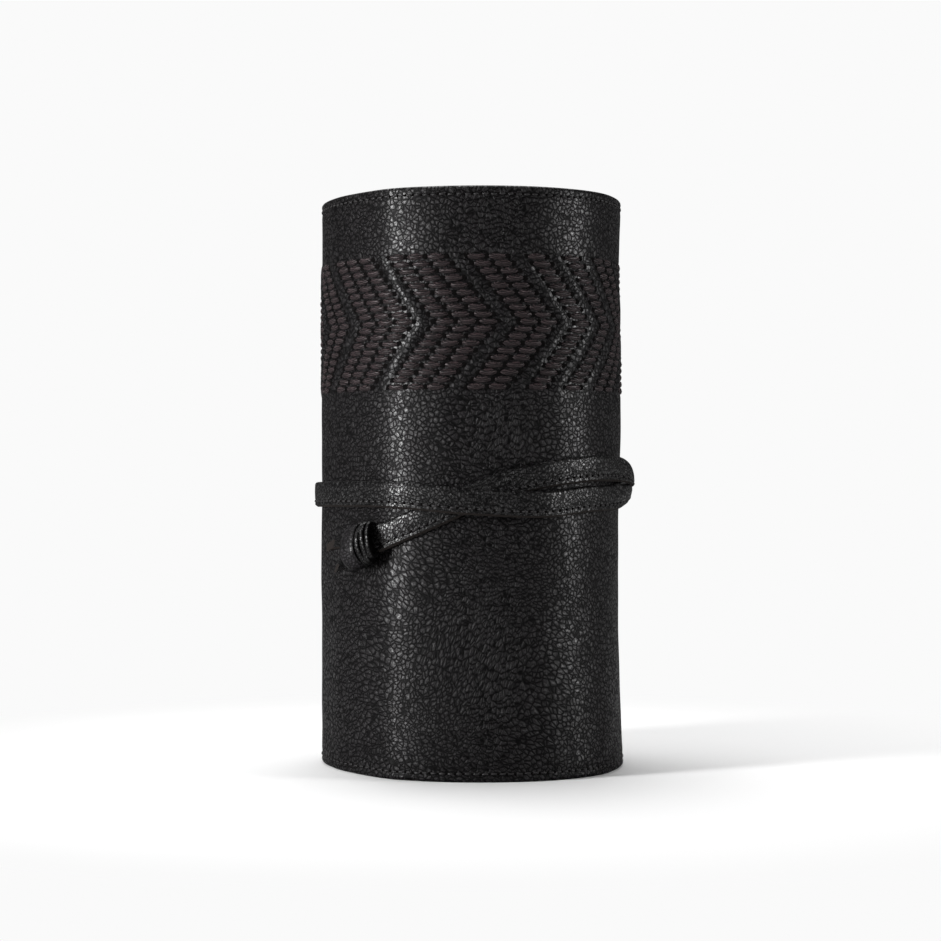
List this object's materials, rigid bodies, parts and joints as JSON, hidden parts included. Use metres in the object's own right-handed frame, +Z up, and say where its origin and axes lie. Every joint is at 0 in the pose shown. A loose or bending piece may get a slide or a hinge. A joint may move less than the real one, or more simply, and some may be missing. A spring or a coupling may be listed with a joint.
{
  "type": "grooming roll",
  "caption": "Rolled leather case for grooming tools, with a chevron-embroidered band, pockets on its lining and a knotted tie; it unrolls flat at upright folds.",
  "frame": {"origin": "middle of the base, on the surface that the closed roll stands on", "axes": "+Z up along the roll's axis; the viewer of the front looks along +Y, with the tie's bight at +X"},
  "size_m": [0.1181, 0.1182, 0.205],
  "materials": {
    "black_leather": "satin pebbled leather",
    "lining": "matt smooth leather",
    "tie_leather": "satin smooth leather",
    "thread": "satin thread"
  },
  "bodies": {
    "panel_01": {"outer_panel_01": "black_leather", "lining_01": "lining", "tie_end": "tie_leather"},
    "panel_02": {"outer_panel_02": "black_leather", "lining_02": "lining"},
    "panel_03": {"outer_panel_03": "black_leather", "lining_03": "lining"},
    "panel_04": {"outer_panel_04": "black_leather", "lining_04": "lining"},
    "panel_05": {"outer_panel_05": "black_leather", "lining_05": "lining", "pocket_05": "lining"},
    "panel_06": {"outer_panel_06": "black_leather", "lining_06": "lining", "pocket_06": "lining"},
    "panel_07": {"outer_panel_07": "black_leather", "lining_07": "lining", "pocket_07": "lining"},
    "panel_08": {"outer_panel_08": "black_leather", "lining_08": "lining", "pocket_08": "lining"},
    "panel_09": {"outer_panel_09": "black_leather", "lining_09": "lining", "pocket_09": "lining"},
    "panel_10": {"outer_panel_10": "black_leather", "lining_10": "lining", "pocket_10": "lining"},
    "panel_11": {"outer_panel_11": "black_leather", "lining_11": "lining", "pocket_11": "lining"},
    "panel_12": {"outer_panel_12": "black_leather", "lining_12": "lining", "pocket_12": "lining"},
    "tie_1": {"tie_lead_1": "tie_leather"},
    "tie_2": {"tie_lead_2": "tie_leather"},
    "tie_3": {"tie_lead_3": "tie_leather"},
    "tie_4": {"tie_lead_4": "tie_leather", "tie_knotted_end": "tie_leather"},
    "tie_5": {"tie_lead_5": "tie_leather", "tie_return_2": "tie_leather"},
    "tie_6": {"tie_lead_6": "tie_leather", "tie_return_1": "tie_leather"},
    "tie_7": {"tie_bight": "tie_leather"}
  },
  "joints": [
    {"name": "panel_fold_06_07", "type": "hinge", "parent": "panel_06", "child": "panel_07", "pos_m": [-0.05465, 0.01647, 0], "axis": [0, 0, 1], "range_deg": [0, 50.1]},
    {"name": "panel_fold_07_08", "type": "hinge", "parent": "panel_07", "child": "panel_08", "pos_m": [-0.02467, 0.04973, 0], "axis": [0, 0, 1], "range_deg": [0, 54.9]},
    {"name": "panel_fold_08_09", "type": "hinge", "parent": "panel_08", "child": "panel_09", "pos_m": [0.0195, 0.04444, 0], "axis": [0, 0, 1], "range_deg": [0, 59.9]},
    {"name": "panel_fold_09_10", "type": "hinge", "parent": "panel_09", "child": "panel_10", "pos_m": [0.03695, 0.00386, 0], "axis": [0, 0, 1], "range_deg": [0, 65.5]},
    {"name": "panel_fold_10_11", "type": "hinge", "parent": "panel_10", "child": "panel_11", "pos_m": [0.00756, -0.02857, 0], "axis": [0, 0, 1], "range_deg": [0, 71.6]},
    {"name": "panel_fold_11_12", "type": "hinge", "parent": "panel_11", "child": "panel_12", "pos_m": [-0.03207, -0.01115, 0], "axis": [0, 0, 1], "range_deg": [0, 78.2]},
    {"name": "panel_fold_05_06", "type": "hinge", "parent": "panel_06", "child": "panel_05", "pos_m": [-0.04829, -0.02807, 0], "axis": [0, 0, 1], "range_deg": [-48, 0]},
    {"name": "panel_fold_04_05", "type": "hinge", "parent": "panel_05", "child": "panel_04", "pos_m": [-0.01097, -0.05321, 0], "axis": [0, 0, 1], "range_deg": [-48, 0]},
    {"name": "panel_fold_03_04", "type": "hinge", "parent": "panel_04", "child": "panel_03", "pos_m": [0.0327, -0.04235, 0], "axis": [0, 0, 1], "range_deg": [-48, 0]},
    {"name": "panel_fold_02_03", "type": "hinge", "parent": "panel_03", "child": "panel_02", "pos_m": [0.0539, -0.00267, 0], "axis": [0, 0, 1], "range_deg": [-48, 0]},
    {"name": "panel_fold_01_02", "type": "hinge", "parent": "panel_02", "child": "panel_01", "pos_m": [0.03866, 0.03967, 0], "axis": [0, 0, 1], "range_deg": [-48, 0]},
    {"name": "tie_fold_1", "type": "hinge", "parent": "panel_01", "child": "tie_1", "pos_m": [-0.00304, 0.05912, 0], "axis": [0, 0, 1], "range_deg": [-43.1, 0]},
    {"name": "tie_fold_2", "type": "hinge", "parent": "tie_1", "child": "tie_2", "pos_m": [-0.03834, 0.04577, 0], "axis": [0, 0, 1], "range_deg": [-38.2, 0]},
    {"name": "tie_fold_3", "type": "hinge", "parent": "tie_2", "child": "tie_3", "pos_m": [-0.05786, 0.01347, 0], "axis": [0, 0, 1], "range_deg": [-38.2, 0]},
    {"name": "tie_fold_4", "type": "hinge", "parent": "tie_3", "child": "tie_4", "pos_m": [-0.0533, -0.02399, 0], "axis": [0, 0, 1], "range_deg": [-39.1, 0]},
    {"name": "tie_fold_5", "type": "hinge", "parent": "tie_4", "child": "tie_5", "pos_m": [-0.02584, -0.05366, 0], "axis": [0, 0, 1], "range_deg": [-45.6, 0]},
    {"name": "tie_fold_6", "type": "hinge", "parent": "tie_5", "child": "tie_6", "pos_m": [0.02568, -0.05171, 0], "axis": [0, 0, 1], "range_deg": [-44.1, 0]},
    {"name": "tie_fold_7", "type": "hinge", "parent": "tie_6", "child": "tie_7", "pos_m": [0.0506, -0.02399, 0], "axis": [0, 0, 1], "range_deg": [-35.6, 0]}
  ],
  "couplings": [
    {"joint": "panel_fold_07_08", "follows": "panel_fold_06_07", "ratio": 1.0929},
    {"joint": "panel_fold_08_09", "follows": "panel_fold_06_07", "ratio": 1.1944},
    {"joint": "panel_fold_09_10", "follows": "panel_fold_06_07", "ratio": 1.3054},
    {"joint": "panel_fold_10_11", "follows": "panel_fold_06_07", "ratio": 1.4266},
    {"joint": "panel_fold_11_12", "follows": "panel_fold_06_07", "ratio": 1.5592},
    {"joint": "panel_fold_05_06", "follows": "panel_fold_06_07", "ratio": -0.95561},
    {"joint": "panel_fold_04_05", "follows": "panel_fold_06_07", "ratio": -0.95561},
    {"joint": "panel_fold_03_04", "follows": "panel_fold_06_07", "ratio": -0.95561},
    {"joint": "panel_fold_02_03", "follows": "panel_fold_06_07", "ratio": -0.95561},
    {"joint": "panel_fold_01_02", "follows": "panel_fold_06_07", "ratio": -0.95561},
    {"joint": "tie_fold_1", "follows": "panel_fold_06_07", "ratio": -0.85776},
    {"joint": "tie_fold_2", "follows": "panel_fold_06_07", "ratio": -0.75991},
    {"joint": "tie_fold_3", "follows": "panel_fold_06_07", "ratio": -0.75991},
    {"joint": "tie_fold_4", "follows": "panel_fold_06_07", "ratio": -0.77879},
    {"joint": "tie_fold_5", "follows": "panel_fold_06_07", "ratio": -0.90735},
    {"joint": "tie_fold_6", "follows": "panel_fold_06_07", "ratio": -0.87744},
    {"joint": "tie_fold_7", "follows": "panel_fold_06_07", "ratio": -0.70793}
  ]
}
